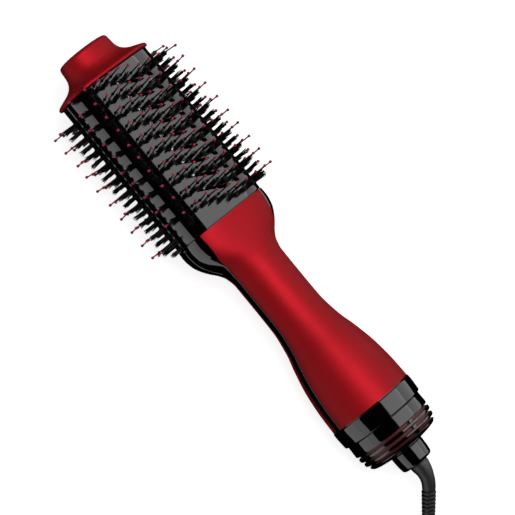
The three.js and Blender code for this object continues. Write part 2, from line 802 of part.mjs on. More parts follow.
place(brush, "tip_cap", tipCap(), RED);
place(brush, "cap_screw", screw(32.3, 6, 2.8, 1.4), STEEL);
place(brush, "barrel_front", barrelHalf(1), GLOSS_BLACK);
place(brush, "barrel_back", barrelHalf(-1), GLOSS_BLACK);
place(brush, "barrel_core", barrelCore(), NYLON);
for (let i = 0; i < ROWS; i++) {
  const number = String(i + 1).padStart(2, "0");
  place(brush, `front_pin_row_${number}`, pinRow(i, 1), BRISTLE);
  place(brush, `back_pin_row_${number}`, pinRow(i, -1), BRISTLE);
}
place(brush, "right_side_pins", sidePins(1, SIDE_ROW_RIGHT), BRISTLE);
place(brush, "left_side_pins", sidePins(-1, SIDE_ROW_LEFT), BRISTLE);
place(brush, "mid_frame", midFrame(), GLOSS_BLACK);
place(brush, "front_shell", handleShell(1), RED);
place(brush, "back_shell", handleShell(-1), RED);
place(brush, "shell_screw_left", shellScrew(-SCREW_Y), STEEL);
place(brush, "shell_screw_right", shellScrew(SCREW_Y), STEEL);
place(brush, "heater_sleeve", tube(154, 216, 14.8, 13.8, 20), MICA);
place(brush, "mica_cross", micaCross(), MICA);
place(brush, "heater_coil", heaterCoil(), STEEL);
place(brush, "thermostat", rod(151.6, 155, 3.6, 12), BRASS);
place(brush, "thermal_fuse", peg([149, -4, 7], [149, 4, 7], 1.5, 8), NYLON);
place(brush, "motor", motor(), STEEL);
place(brush, "motor_mount", motorMount(), NYLON);
place(brush, "fan_rotor", fanRotor(), NYLON);
place(brush, "selector_ring", selectorRing(), GLOSS_BLACK);
place(brush, "contact_wiper", contactWiper(), BRASS);
place(brush, "switch_plate", switchPlate(), NYLON);
place(brush, "detent_spring", detentSpring(), STEEL);
place(brush, "intake_cup", intakeCup(), GLOSS_BLACK);
place(brush, "intake_liner", intakeLiner(), RED);
place(brush, "lead_wire_line", leadWire(1.6), RUBBER);
place(brush, "lead_wire_neutral", leadWire(-1.6), RUBBER);
place(brush, "cord_hub", cordHub(), GLOSS_BLACK);
place(brush, "swivel_core", swivelCore(), NYLON);

// Lay the brush down: tilt it, then set its lowest point on the floor and its middle over the origin.
const axisTilt = new THREE.Euler(0, TILT, 0);
brush.rotation.copy(axisTilt);
brush.updateMatrixWorld(true);
const extent = new THREE.Box3().setFromObject(brush, true);
brush.position.set(-(extent.min.x + extent.max.x) / 2, 0, -extent.min.z);
place(brush, "strain_relief", strainRelief(), RUBBER);

place(laid, "power_cord", cordTube(), RUBBER);
place(laid, "cord_coil", cordCoil(), RUBBER);
place(laid, "cord_tie", cordTie(), RUBBER);
place(laid, "plug_lead", plugLead(), RUBBER);
place(laid, "plug_body", plugBody(), GLOSS_BLACK);
place(laid, "plug_blade_line", plugBlade(1), STEEL);
place(laid, "plug_blade_neutral", plugBlade(-1), STEEL);
place(laid, "test_button", plugButton(24), NYLON);
place(laid, "reset_button", plugButton(42), RED);

const part = new THREE.Group();
part.add(brush, laid);
export default part;
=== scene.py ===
import json
import math
import random

import bmesh
import bpy
from mathutils import Matrix, Vector
from mathutils.geometry import delaunay_2d_cdt

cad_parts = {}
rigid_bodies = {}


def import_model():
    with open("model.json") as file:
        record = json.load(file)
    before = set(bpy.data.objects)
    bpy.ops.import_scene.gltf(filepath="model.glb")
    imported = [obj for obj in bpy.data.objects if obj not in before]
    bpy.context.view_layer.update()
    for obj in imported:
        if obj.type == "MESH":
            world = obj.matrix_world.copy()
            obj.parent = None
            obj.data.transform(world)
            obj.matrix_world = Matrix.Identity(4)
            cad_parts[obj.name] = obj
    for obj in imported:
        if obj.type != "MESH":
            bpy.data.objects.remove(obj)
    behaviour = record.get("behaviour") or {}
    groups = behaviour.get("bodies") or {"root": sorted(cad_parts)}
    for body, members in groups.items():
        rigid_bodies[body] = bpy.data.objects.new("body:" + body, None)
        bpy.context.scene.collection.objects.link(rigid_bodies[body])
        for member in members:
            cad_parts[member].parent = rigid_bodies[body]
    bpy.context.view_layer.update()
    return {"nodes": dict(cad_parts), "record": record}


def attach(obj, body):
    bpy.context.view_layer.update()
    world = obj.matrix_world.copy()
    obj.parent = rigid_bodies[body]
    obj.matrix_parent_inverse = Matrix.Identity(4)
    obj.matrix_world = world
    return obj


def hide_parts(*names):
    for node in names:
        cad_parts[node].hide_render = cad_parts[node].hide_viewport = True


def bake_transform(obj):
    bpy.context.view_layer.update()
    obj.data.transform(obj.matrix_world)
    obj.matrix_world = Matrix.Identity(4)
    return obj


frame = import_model()
random.seed(41)

# ---- the brush's own frame: s from the tip to the cord, u across the wide face, v out of its front, in mm
MM = 0.001
TILT = math.radians(2.6742879)  # the brush lies on its pins and its base, so its axis slopes down to the cord
BRUSH_AT = Vector((-0.174725425, 0.0, 0.045510654))  # the tip's middle, in metres
AXIS = Vector((math.cos(TILT), 0.0, -math.sin(TILT)))
ACROSS = Vector((0.0, 1.0, 0.0))
OUT = Vector((math.sin(TILT), 0.0, math.cos(TILT)))


def place(s, u, v):
    """A point of the brush's frame, in mm, as a point of the row frame, in metres."""
    return BRUSH_AT + (AXIS * s + ACROSS * u + OUT * v) * MM


def floor_point(x, y, z):
    """A point of the row frame given in mm, for what lies on the floor."""
    return Vector((x, y, z)) * MM


# ---- dimensions, in mm ---------------------------------------------------------------------------
CAP_END, BARREL_START, BARREL_END = 24.0, 24.3, 144.0
SHELL_START, SHELL_END = 144.3, 299.8
RING_START, RING_END = 300.3, 313.0
BARREL_A, BARREL_B, BARREL_N = 34.5, 21.8, 3.0
BARREL_WALL, SHELL_WALL = 1.7, 1.8

# a row's s follows a slanting curve over the distance from the crown: shift + swing * tanh(distance / bend)
ROWS, ROW_PITCH, FIRST_ROW, ROW_SHIFT, ROW_SWING, ROW_BEND = 10, 11.13, 23.2, 7.2, 4.7, 9.0
COLUMNS, COLUMN_PITCH = 5, 6.65  # columns each side of the middle one
SIDE_FIRST = {1: 29.4, -1: 36.3}  # the first pin down each narrow side

CAP = [  # s, half-width, half-depth, squareness
    (0.0, 0.2, 0.15, 2.2), (0.03, 4.0, 3.0, 2.2), (0.1, 8.0, 6.0, 2.2), (0.2, 11.5, 8.7, 2.2),
    (0.33, 14.3, 10.8, 2.2), (0.5, 16.4, 12.4, 2.2), (0.8, 18.0, 13.6, 2.2), (1.2, 18.8, 14.3, 2.2),
    (1.8, 19.35, 14.75, 2.2), (3.0, 19.8, 15.2, 2.2), (6.5, 20.1, 15.5, 2.2), (10.0, 20.4, 15.8, 2.25),
    (13.0, 21.4, 16.3, 2.35), (15.0, 22.8, 17.0, 2.45), (17.5, 26.2, 18.4, 2.6), (19.5, 31.0, 20.6, 2.8),
    (21.3, 35.3, 22.9, 2.95), (22.0, 36.1, 23.5, 3.0), (22.7, 36.4, 23.8, 3.0), (23.5, 36.4, 23.8, 3.0),
    (23.9, 36.1, 23.5, 3.0), (CAP_END, 35.6, 23.0, 3.0)]
HANDLE = [  # s, half-width, half-depth, squareness
    (144.3, 35.0, 22.0, 3.0), (150, 35.3, 21.8, 2.95), (157, 34.3, 21.2, 2.8), (162, 32.2, 20.7, 2.6),
    (167, 28.8, 20.2, 2.4), (172, 24.5, 19.6, 2.2), (177, 21.4, 19.0, 2.1), (185, 19.9, 18.6, 2.0),
    (206, 19.8, 18.8, 2.0), (222, 19.9, 19.2, 2.0), (240, 22.0, 22.0, 2.0), (253, 25.4, 25.4, 2.0),
    (271, 29.0, 29.0, 2.0), (288, 30.6, 30.6, 2.0), (301, 31.0, 31.0, 2.0)]
SHOULDER = [(140, 34.6, 21.9, 3.0), (150, 35.2, 21.8, 2.95)]  # what stands in the neck, inside the shells
SEAM = [  # s, height of the shells' edges off the middle plane
    (140, 17.4), (150, 17.4), (157, 16.5), (163, 14.1), (170.6, 9.8), (175, 6.6), (182, 4.3), (188, 3.8),
    (302, 3.8)]
CUP = [  # s, radius
    (313.3, 29.3), (321.5, 29.5), (329.8, 28.4), (333.0, 27.0), (334.2, 26.0), (335.0, 25.0), (335.7, 22.6),
    (336.2, 19.7), (336.9, 15.5), (337.3, 12.6)]


def smooth(table, x, column=1):
    """A monotone cubic curve through a column of the table at x."""
    xs = [row[0] for row in table]
    ys = [row[column] for row in table]
    if x <= xs[0]:
        return ys[0]
    if x >= xs[-1]:
        return ys[-1]
    i = max(k for k in range(len(xs) - 1) if xs[k] <= x)
    slopes = [(ys[k + 1] - ys[k]) / (xs[k + 1] - xs[k]) for k in range(len(xs) - 1)]

    def tangent(k):
        if k == 0 or k == len(xs) - 1:
            return slopes[0 if k == 0 else -1]
        before, after = slopes[k - 1], slopes[k]
        return 0.0 if before * after <= 0 else 2 * before * after / (before + after)

    h = xs[i + 1] - xs[i]
    t = (x - xs[i]) / h
    m0, m1 = tangent(i) * h, tangent(i + 1) * h
    return ((2 * t**3 - 3 * t**2 + 1) * ys[i] + (t**3 - 2 * t**2 + t) * m0
            + (3 * t**2 - 2 * t**3) * ys[i + 1] + (t**3 - t**2) * m1)


def section(table, s, inset=0.0):
    """The half-width, half-depth and squareness of a table's oval at s, drawn in by an inset."""
    return tuple(smooth(table, s, c) - (inset if c < 3 else 0) for c in (1, 2, 3))


def oval(a, b, n, angle):
    """The point of a superellipse in the direction of an angle."""
    c, d = math.cos(angle), math.sin(angle)
    r = (abs(c / a) ** n + abs(d / b) ** n) ** (-1 / n)
    return r * c, r * d


def spread(start, end, count):
    """Evenly spaced numbers from start to end."""
    return [start + (end - start) * i / (count - 1) for i in range(count)]


def around(sides):
    """Evenly spaced angles round a circle."""
    return [2 * math.pi * j / sides for j in range(sides)]


def ease(t):
    """0 before 0, 1 after 1, and a smooth step between."""
    t = max(0.0, min(1.0, t))
    return t * t * (3 - 2 * t)


# ---- materials -----------------------------------------------------------------------------------
BUMP_HEIGHT = 0.0004  # metres
ROUGHNESS_SCALE, COLOUR_SCALE = 60, 35  # of the slow changes, per metre


def finish(name, color, roughness, grain, depth, swing=0.12, mottle=0.05, **sockets):
    """A moulded or machined surface: fine grain in the bump, slow changes in roughness and colour."""
    mat = bpy.data.materials.new(name)
    mat.use_nodes = True
    nodes, links = mat.node_tree.nodes, mat.node_tree.links
    shader = nodes["Principled BSDF"]
    coord = nodes.new("ShaderNodeTexCoord")

    def noise(scale, detail):
        node = nodes.new("ShaderNodeTexNoise")
        node.inputs["Scale"].default_value = scale
        node.inputs["Detail"].default_value = detail
        links.new(coord.outputs["Object"], node.inputs["Vector"])
        return node.outputs["Fac"]

    bump = nodes.new("ShaderNodeBump")
    bump.inputs["Strength"].default_value = depth
    bump.inputs["Distance"].default_value = BUMP_HEIGHT
    links.new(noise(grain, 3), bump.inputs["Height"])
    links.new(bump.outputs["Normal"], shader.inputs["Normal"])
    rough = nodes.new("ShaderNodeMapRange")
    rough.inputs["To Min"].default_value = roughness * (1 - swing)
    rough.inputs["To Max"].default_value = roughness * (1 + swing)
    links.new(noise(ROUGHNESS_SCALE, 4), rough.inputs["Value"])
    links.new(rough.outputs["Result"], shader.inputs["Roughness"])
    ramp = nodes.new("ShaderNodeValToRGB")
    darker, lighter = ramp.color_ramp.elements
    darker.position, lighter.position = 0.3, 0.7
    darker.color = [c * (1 - mottle) for c in color] + [1]
    lighter.color = [min(1, c * (1 + mottle)) for c in color] + [1]
    links.new(noise(COLOUR_SCALE, 2), ramp.inputs["Fac"])
    links.new(ramp.outputs["Color"], shader.inputs["Base Color"])
    for key, value in sockets.items():
        shader.inputs[key.replace("_", " ")].default_value = value
    return mat


RED = finish("satin_red", (0.46, 0.006, 0.011), 0.54, 2600, 0.05, mottle=0.02,
             Specular_Tint=(1.0, 0.03, 0.05, 1), Specular_IOR_Level=0.4)
GLOSS = finish("gloss_black", (0.0015, 0.0015, 0.0016), 0.07, 900, 0.004, swing=0.35)
MOULDED = finish("moulded_black", (0.010, 0.010, 0.011), 0.42, 1800, 0.12)
NYLON_BLACK = finish("bristle_nylon", (0.002, 0.002, 0.002), 0.4, 1200, 0.08, Specular_IOR_Level=0.22)
TIP_RED = finish("tip_red", (0.72, 0.022, 0.08), 0.3, 900, 0.03, Specular_Tint=(1.0, 0.5, 0.55, 1))
LINER_RED = finish("filter_red", (0.17, 0.008, 0.012), 0.5, 2400, 0.3)
RUBBER = finish("cord_rubber", (0.014, 0.014, 0.015), 0.5, 2200, 0.16)
STEEL = finish("nickel_steel", (0.62, 0.61, 0.58), 0.28, 3000, 0.06, Metallic=1.0)
BRASS = finish("brass", (0.72, 0.52, 0.24), 0.3, 2500, 0.06, Metallic=1.0)
MICA = finish("mica", (0.66, 0.60, 0.46), 0.45, 500, 0.3, mottle=0.2)
NYLON = finish("natural_nylon", (0.72, 0.70, 0.64), 0.5, 1500, 0.1)
FLOOR = finish("paper_floor", (0.93, 0.93, 0.93), 0.9, 300, 0.02, mottle=0.003,
               Emission_Color=(1, 1, 1, 1), Emission_Strength=0.85)

SLOT_FINISH = {"red_shell": RED, "gloss_black": GLOSS, "bristle_black": NYLON_BLACK, "cord_black": RUBBER,
               "steel": STEEL, "brass": BRASS, "mica": MICA, "nylon": NYLON, "accent_red": LINER_RED,
               "core_black": MOULDED}
slot_of = {part["node"]: part["material_slot"] for part in frame["record"]["subparts"]}
for node, obj in frame["nodes"].items():
    if not obj.material_slots:
        obj.data.materials.append(None)
    for held in obj.material_slots:
        held.material = SLOT_FINISH[slot_of[node]]


# ---- making pieces -------------------------------------------------------------------------------
SHARP = 38  # degrees between two faces, from which their edge is drawn sharp


def away_from_axis(point):
    """The way from the brush's axis to a point, square to the axis."""
    rel = point - BRUSH_AT
    return rel - AXIS * rel.dot(AXIS)


def set_sharp(obj, angle):
    obj.data.shade_smooth()
    obj.data.set_sharp_from_angle(angle=math.radians(angle))


def piece(name, points, faces, material, slot, body="brush", replaces=(), ride=True, sheet=False):
    """A smooth mesh of points in the row frame that rides on a body and takes the given finish. The slot is not used.
    A closed one faces out by itself, and a sheet faces away from the brush's axis."""
    mesh = bpy.data.meshes.new(name)
    mesh.from_pydata([tuple(p) for p in points], [], faces)
    mesh.validate()
    made = bmesh.new()
    made.from_mesh(mesh)
    if sheet:
        for face in made.faces:
            face.normal_update()
            if face.normal.dot(away_from_axis(face.calc_center_median())) < 0:
                face.normal_flip()
    else:
        bmesh.ops.recalc_face_normals(made, faces=made.faces[:])
    loose = [v for v in made.verts if not v.link_faces]
    bmesh.ops.delete(made, geom=loose, context="VERTS")
    made.to_mesh(mesh)
    made.free()
    mesh.materials.append(material)
    obj = bpy.data.objects.new(name, mesh)
    bpy.context.scene.collection.objects.link(obj)
    set_sharp(obj, SHARP)
    if replaces:
        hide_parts(*replaces)
    if ride:
        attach(obj, body)
    return obj


def settle(obj, sharp=SHARP):
    """Makes the modifiers' result the piece's own mesh, with its sharp edges marked."""
    bpy.context.view_layer.update()
    made = bpy.data.meshes.new_from_object(obj.evaluated_get(bpy.context.evaluated_depsgraph_get()))
    obj.modifiers.clear()
    obj.data = made
    set_sharp(obj, sharp)
    return obj


def add_wall(obj, thickness, offset=-1):
    """Gives a sheet its wall: behind its faces at an offset of -1, and in front of them at 1."""
    wall = obj.modifiers.new("wall", "SOLIDIFY")
    wall.thickness = thickness * MM
    wall.offset = offset


def soften_rims(obj, width, segments=2, angle=30):
    """Rounds the edges where two faces turn by more than an angle."""
    rims = obj.modifiers.new("rims", "BEVEL")
    rims.width, rims.segments = width * MM, segments
    rims.limit_method, rims.angle_limit = "ANGLE", math.radians(angle)


def grid(rows, cols, close_rows=False, close_cols=False, offset=0):
    """Quads over a grid of rows * cols points."""
    faces = []
    for i in range(rows if close_rows else rows - 1):
        for j in range(cols if close_cols else cols - 1):
            a, b = i * cols, (i + 1) % rows * cols
            k = (j + 1) % cols
            faces.append((offset + a + j, offset + a + k, offset + b + k, offset + b + j))
    return faces


def capped(rows, sides, offset=0):
    """The faces of a tube of rows rings with both ends closed."""
    last = offset + (rows - 1) * sides
    return grid(rows, sides, close_cols=True, offset=offset) + [
        tuple(range(offset + sides - 1, offset - 1, -1)), tuple(range(last, last + sides))]


def circle(centre, side, other, radius, angles):
    """Points of a circle in the plane of side and other. The radius is in mm, the centre in metres."""
    return [centre + (side * math.cos(a) + other * math.sin(a)) * radius * MM for a in angles]


def rounded(points, size, closed=False, steps=4):
    """A polyline with its corners turned into short curves."""
    pts = [Vector(p) for p in points]
    out = []
    for i, p in enumerate(pts):
        if not closed and i in (0, len(pts) - 1):
            out.append(p)
            continue
        before, after = pts[i - 1] - p, pts[(i + 1) % len(pts)] - p
        r = min(size, 0.45 * before.length, 0.45 * after.length)
        p0, p1 = p + before.normalized() * r, p + after.normalized() * r
        for k in range(steps + 1):
            t = k / steps
            out.append(p0 * (1 - t) ** 2 + p * 2 * t * (1 - t) + p1 * t * t)
    return out


def rounded_rectangle(x0, y0, x1, y1, corner, steps=5):
    return rounded([(x0, y0), (x1, y0), (x1, y1), (x0, y1)], corner, closed=True, steps=steps)


def turned(name, outline, material, slot, sides=120, round_by=0.4, **options):
    """A closed section of (s, radius) points swept round the axis."""
    profile = rounded(outline, round_by, closed=True)
    points = [place(s, r * math.cos(a), r * math.sin(a)) for s, r in profile for a in around(sides)]
    return piece(name, points, grid(len(profile), sides, True, True), material, slot, **options)


class Builder:
    """Collects several small closed shapes into one mesh."""

    def __init__(self):
        self.points, self.faces = [], []

    def stalk(self, centres, radii, sides, wobble=0.0):
        """A round stalk through centres, closed at both ends."""
        self.faces += capped(len(centres), sides, offset=len(self.points))
        for i, (c, r) in enumerate(zip(centres, radii)):
            ahead = centres[min(i + 1, len(centres) - 1)] - centres[max(i - 1, 0)]
            ahead.normalize()
            side = ahead.orthogonal().normalized()
            self.points += circle(c, side, ahead.cross(side), r, [a + wobble for a in around(sides)])

    def make(self, name, material, slot, **options):
        return piece(name, self.points, self.faces, material, slot, **options)


# ---- tip cap -------------------------------------------------------------------------------------
def tip_cap():
    """The cap's skin from the crown to the rim, then back inside to a floor."""
    sides = 160
    heights = [row[0] for row in CAP[:9]] + [2.4] + spread(3, 20, 40) + spread(20.5, 22, 7)
    heights += [22.3, 22.7, 23.1, 23.5, 23.75, 23.9, CAP_END]
    rings = [(s, section(CAP, s)) for s in heights]
    rings += [(CAP_END, section(CAP, CAP_END, 3.4)), (CAP_END - 4.0, section(CAP, CAP_END, 9.0))]
    points = [place(s, *oval(a, b, n, angle)) for s, (a, b, n) in rings for angle in around(sides)]
    return piece("tip_cap_skin", points, capped(len(rings), sides), RED, "red_shell", replaces=["tip_cap"])


# ---- barrel --------------------------------------------------------------------------------------
RIM_STEPS = 900


def rim_table():
    """Places round a quarter of the barrel's rim, by distance from the crown: (distance, u, v, nu, nv)."""
    table, walked, last = [], 0.0, None
    for i in range(RIM_STEPS + 1):
        u, v = oval(BARREL_A, BARREL_B, BARREL_N, math.pi / 2 * (1 - i / RIM_STEPS))
        if last:
            walked += math.hypot(u - last[0], v - last[1])
        last = (u, v)
        nu = (max(u, 0) / BARREL_A) ** (BARREL_N - 1) / BARREL_A
        nv = (max(v, 0) / BARREL_B) ** (BARREL_N - 1) / BARREL_B
        size = math.hypot(nu, nv)
        table.append((walked, u, v, nu / size, nv / size))
    return table


RIM = rim_table()
RIM_QUARTER = RIM[-1][0]


def rim(distance, lift=0.0):
    """(u, v) at a distance round the rim from the front crown, and a height over the surface."""
    d = min(abs(distance), RIM_QUARTER)
    lo, hi = 0, len(RIM) - 1
    while hi - lo > 1:
        mid = (lo + hi) // 2
        lo, hi = (mid, hi) if RIM[mid][0] <= d else (lo, mid)
    t = (d - RIM[lo][0]) / max(1e-9, RIM[hi][0] - RIM[lo][0])
    u, v, nu, nv = (RIM[lo][k] + (RIM[hi][k] - RIM[lo][k]) * t for k in (1, 2, 3, 4))
    return math.copysign(u + nu * lift, distance), v + nv * lift


def row_at(distance):
    """How far a row has come along s at a distance from the crown."""
    return ROW_SHIFT + ROW_SWING * math.tanh(distance / ROW_BEND)


# long vent slots across the crown, and short ones down each side of them: distances from the crown, s, in mm
LONG_SLOTS, LONG_FIRST, LONG_PITCH = 9, 36.45, 11.14
LONG_MIDDLE, LONG_REACH, LONG_HALF, LONG_SWING, LONG_BEND = 0.55, 11.9, 1.3, 5.35, 9
SHORT_FIRST = {-17.1: 41.3 - ROW_PITCH, 17.9: 41.3}
SHORT_REACH, SHORT_HALF, SHORT_LEAN, SHORT_CORNER = 2.1, 1.35, 0.25, 0.9


def slot_outlines():
    """Vent slots as closed outlines of (distance, s) on the unrolled face."""
    outlines = []
    for k in range(LONG_SLOTS):
        upper, lower = [], []
        for t in spread(-1, 1, 13):
            d = LONG_MIDDLE + LONG_REACH * t
            half = LONG_HALF * (1 - abs(t) ** 5) ** 0.5 * (1 - 0.25 * t * t) + 0.02
            s = LONG_FIRST + LONG_PITCH * k + LONG_SWING * math.tanh((d - LONG_MIDDLE) / LONG_BEND)
            upper.append((d, s - half))
            lower.append((d, s + half))
        outlines.append(upper + lower[::-1])
        for d, first in SHORT_FIRST.items():
            s = first + ROW_PITCH * k
            box = [(d + a * SHORT_REACH, s + b * SHORT_HALF + a * SHORT_REACH * SHORT_LEAN)
                   for a, b in ((-1, -1), (1, -1), (1, 1), (-1, 1))]
            outlines.append([tuple(p) for p in rounded(box, SHORT_CORNER, closed=True, steps=3)])
    return outlines


EDGE_GAP = 0.12  # half the gap between the two halves of the barrel
EDGE_ROLL, EDGE_WIDTH = 0.45, 0.95  # how far a half's long edges roll in, and over what width
END_ROLL, END_WIDTH = 0.35, 0.6  # the same for its two ends


def barrel_half(face):
    """One half of the barrel: the unrolled face is cut into a fine grid with the slots left out, then bent."""
    edge = RIM_QUARTER - EDGE_GAP
    points2, holes = [], []
    for outline in slot_outlines():
        holes.append(list(range(len(points2), len(points2) + len(outline))))
        points2 += [Vector(p) for p in outline]
    stations = [BARREL_START, 24.5, 24.9] + spread(26.0, 142.4, 82) + [143.3, 143.8, BARREL_END]
    across = [-edge, -edge + 0.25, -edge + 0.55, -edge + EDGE_WIDTH]
    across += spread(-edge + 1.6, edge - 1.6, 64)
    across += [edge - EDGE_WIDTH, edge - 0.55, edge - 0.25, edge]
    for s in stations:
        points2 += [Vector((d, s)) for d in across]
    flat, _, faces2, _, _, origin = delaunay_2d_cdt(points2, [], holes, 0, 1e-5)
    points = []
    for d, s in flat:
        roll = EDGE_ROLL * max(0.0, 1 - (edge - abs(d)) / EDGE_WIDTH) ** 2
        roll += END_ROLL * max(0.0, 1 - min(s - BARREL_START, BARREL_END - s) / END_WIDTH) ** 2
        u, v = rim(d, -roll)
        points.append(place(s, face * u, face * v))
    faces = [tuple(f) for f, o in zip(faces2, origin) if not o]
    node = "barrel_front" if face > 0 else "barrel_back"
    half = piece(f"{node}_skin", points, faces, GLOSS, "gloss_black", replaces=[node], sheet=True)
    add_wall(half, BARREL_WALL)
    return settle(half, sharp=50)


# ---- bristles ------------------------------------------------------------------------------------
PIN_REACH, BALL = 17.3, 1.04  # a pin's height over the barrel, and the radius of its ball tip
HAIRS, HAIR_HEIGHT, TUFT_RADIUS, HAIR_SPLAY = 16, 9.2, 1.35, 0.4
HAIR_RADII = [0.3, 0.29, 0.2]
GOLDEN_ANGLE = 2.39996
TUFT_LEAN, TUFT_STRAY = 0.06, 0.2
LAST_TUFT = 138.5  # where the tufts of the outer columns stop


def jitter(size):
    return random.uniform(-size, size)


def bristle_site(s, distance, face, side=0):
    """The foot of a bristle and the way it points, in the row frame."""
    if side:
        return place(s, side * BARREL_A, 0.0), ACROSS * side
    u0, v0 = rim(distance)
    u1, v1 = rim(distance, 1.0)
    foot = place(s, face * u0, face * v0)
    return foot, (place(s, face * u1, face * v1) - foot).normalized()


def lean(way, amount):
    """A direction a little off the given one."""
    side = way.orthogonal().normalized()
    other = way.cross(side)
    return (way + side * jitter(amount) + other * jitter(amount)).normalized()


def add_pin(stems, tips, foot, way, wander):
    """A pin on a low foot, and its ball tip with a short sleeve below it."""
    bent = lean(way, wander)
    reach = PIN_REACH + jitter(0.25)

    def at(h):
        share = h / reach
        return foot + (way * (1 - share) + bent * share) * h * MM

    stems.stalk([at(-1.2), at(0.0), at(0.7), at(1.5), at(7.0), at(reach - 3.2)],
                [1.25, 1.2, 0.85, 0.55, 0.5, 0.42], 8)
    centre = reach - BALL
    heights = [centre - 3.0, centre - 1.3, centre - 0.85, centre - 0.5, centre, centre + 0.52, centre + 0.85, reach]
    radii = [0.46, 0.46, 0.6, 0.9, BALL, 0.9, 0.58, 0.12]
    tips.stalk([at(h) for h in heights], radii, 10)


def add_tuft(tufts, foot, way, count=HAIRS, root=TUFT_RADIUS, splayed=HAIR_SPLAY):
    """A tuft: fine nylon hairs of unequal height that spread a little, on a low round foot."""
    side = way.orthogonal().normalized()
    other = way.cross(side)
    tufts.stalk([foot - way * 0.8 * MM, foot + way * 0.35 * MM, foot + way * 0.6 * MM],
                [1.75, 1.7, 1.35], 12)
    for i in range(count):
        r = root * math.sqrt((i + 0.5) / count)
        a = i * GOLDEN_ANGLE + jitter(0.3)
        out = side * math.cos(a) + other * math.sin(a)
        height = HAIR_HEIGHT + jitter(0.9) - 0.5 * r
        splay = splayed * r + jitter(0.25)
        start = foot + out * r * MM
        mid = start + way * height * 0.55 * MM + out * splay * 0.3 * MM
        end = start + way * height * MM + out * splay * MM + side * jitter(0.25) * MM
        tufts.stalk([start, mid, end], HAIR_RADII, 4, wobble=a)


def tuft_style(column, face):
    """How far past its pin each tuft of a column stands, the last place for it, how far it strays sideways,
    how much it leans, and what it is like."""
    if face > 0 and column == -COLUMNS:  # the front left corner has one fat tuft to a pin
        return (0.6,), LAST_TUFT, TUFT_STRAY, TUFT_LEAN, {"count": 30, "root": 1.8}
    if face > 0 and column == 1 - COLUMNS:  # the column beside it is a dense, unruly band
        return (0.4, 4.1, 7.8), LAST_TUFT, 0.7, 0.1, {"count": 20, "root": 1.7, "splayed": 1.0}
    if abs(column) == COLUMNS:  # the other corners have two thin ones
        return (1.0, 6.3), LAST_TUFT, TUFT_STRAY, TUFT_LEAN, {"root": 1.2}
    return (3.5 if abs(column) < COLUMNS - 1 else 2.2,), BARREL_END, TUFT_STRAY, TUFT_LEAN, {}


def face_bristles(face, word):
    """The slanting rows of one wide face. Each row's pins are one piece."""
    tips, tufts = Builder(), Builder()
    for k in range(ROWS):
        stems = Builder()
        for column in range(-COLUMNS, COLUMNS + 1):
            d = column * COLUMN_PITCH
            s = FIRST_ROW + k * ROW_PITCH + row_at(d)
            foot, way = bristle_site(s, d, face)
            add_pin(stems, tips, foot, way, 0.11 if abs(column) == COLUMNS else 0.05)
            shifts, last, stray, leaning, looks = tuft_style(column, face)
            for shift in shifts:
                foot, way = bristle_site(min(s + shift, last), d + jitter(stray), face)
                add_tuft(tufts, foot, lean(way, leaning), **looks)
        stems.make(f"{word}_pins_{k + 1:02d}", NYLON_BLACK, "bristle_black",
                   replaces=[f"{word}_pin_row_{k + 1:02d}"])
    tips.make(f"{word}_pin_tips", TIP_RED, "accent_red")
    tufts.make(f"{word}_tufts", NYLON_BLACK, "bristle_black")


def side_bristles(side, word):
    """The column of pins down one narrow side, with two thin tufts to a pin."""
    stems, tips, tufts = Builder(), Builder(), Builder()
    for k in range(ROWS):
        s = SIDE_FIRST[side] + k * ROW_PITCH
        foot, way = bristle_site(s, 0, 1, side)
        add_pin(stems, tips, foot, way, 0.05)
        for shift in (1.2, 6.4):
            foot, way = bristle_site(s + shift, 0, 1, side)
            add_tuft(tufts, foot, lean(way, TUFT_LEAN), root=1.15)
    stems.make(f"{word}_side_stems", NYLON_BLACK, "bristle_black", replaces=[f"{word}_side_pins"])
    tips.make(f"{word}_side_tips", TIP_RED, "accent_red")
    tufts.make(f"{word}_side_tufts", NYLON_BLACK, "bristle_black")


# ---- handle --------------------------------------------------------------------------------------
SEAM_GAP = 0.35  # between a shell's edge and the frame's band
GROOVE_DEPTH, GROOVE_HALF = 0.55, 0.75  # the groove down the middle of the frame, up to the neck
GROOVE_END, GROOVE_FADE = 178, 6
BAND_ROLL = 0.3  # how far the band's outer tenths roll in


def handle_stations():
    """Where the handle's skins have their cross-sections, closer together at both ends."""
    return ([SHELL_START, 144.5, 144.9, 145.6] + spread(146.5, 190, 46) + spread(191.5, 236, 26)
            + spread(238, 298, 36) + [298.8, 299.3, 299.6, SHELL_END])


def seam_angle(height, a, b, n):
    """The angle at which a section stands at a height."""
    share = min(0.999, abs(height) / b)
    return math.atan2(height, a * (1 - share**n) ** (1 / n))


def handle_shell(side):
    """A red shell from one seam over to the other."""
    stations, count = handle_stations(), 97
    points = []
    for s in stations:
        a, b, n = section(HANDLE, s)
        start = seam_angle(smooth(SEAM, s), a, b, n)
        for t in spread(0, 1, count):
            u, v = oval(a, b, n, start + (math.pi - 2 * start) * t)
            points.append(place(s, u, side * v))
    word = "front" if side > 0 else "back"
    shell = piece(f"{word}_shell_skin", points, grid(len(stations), count), RED, "red_shell",
                  replaces=[f"{word}_shell"], sheet=True)
    add_wall(shell, SHELL_WALL)
    soften_rims(shell, 0.4, segments=3, angle=60)
    return settle(shell)


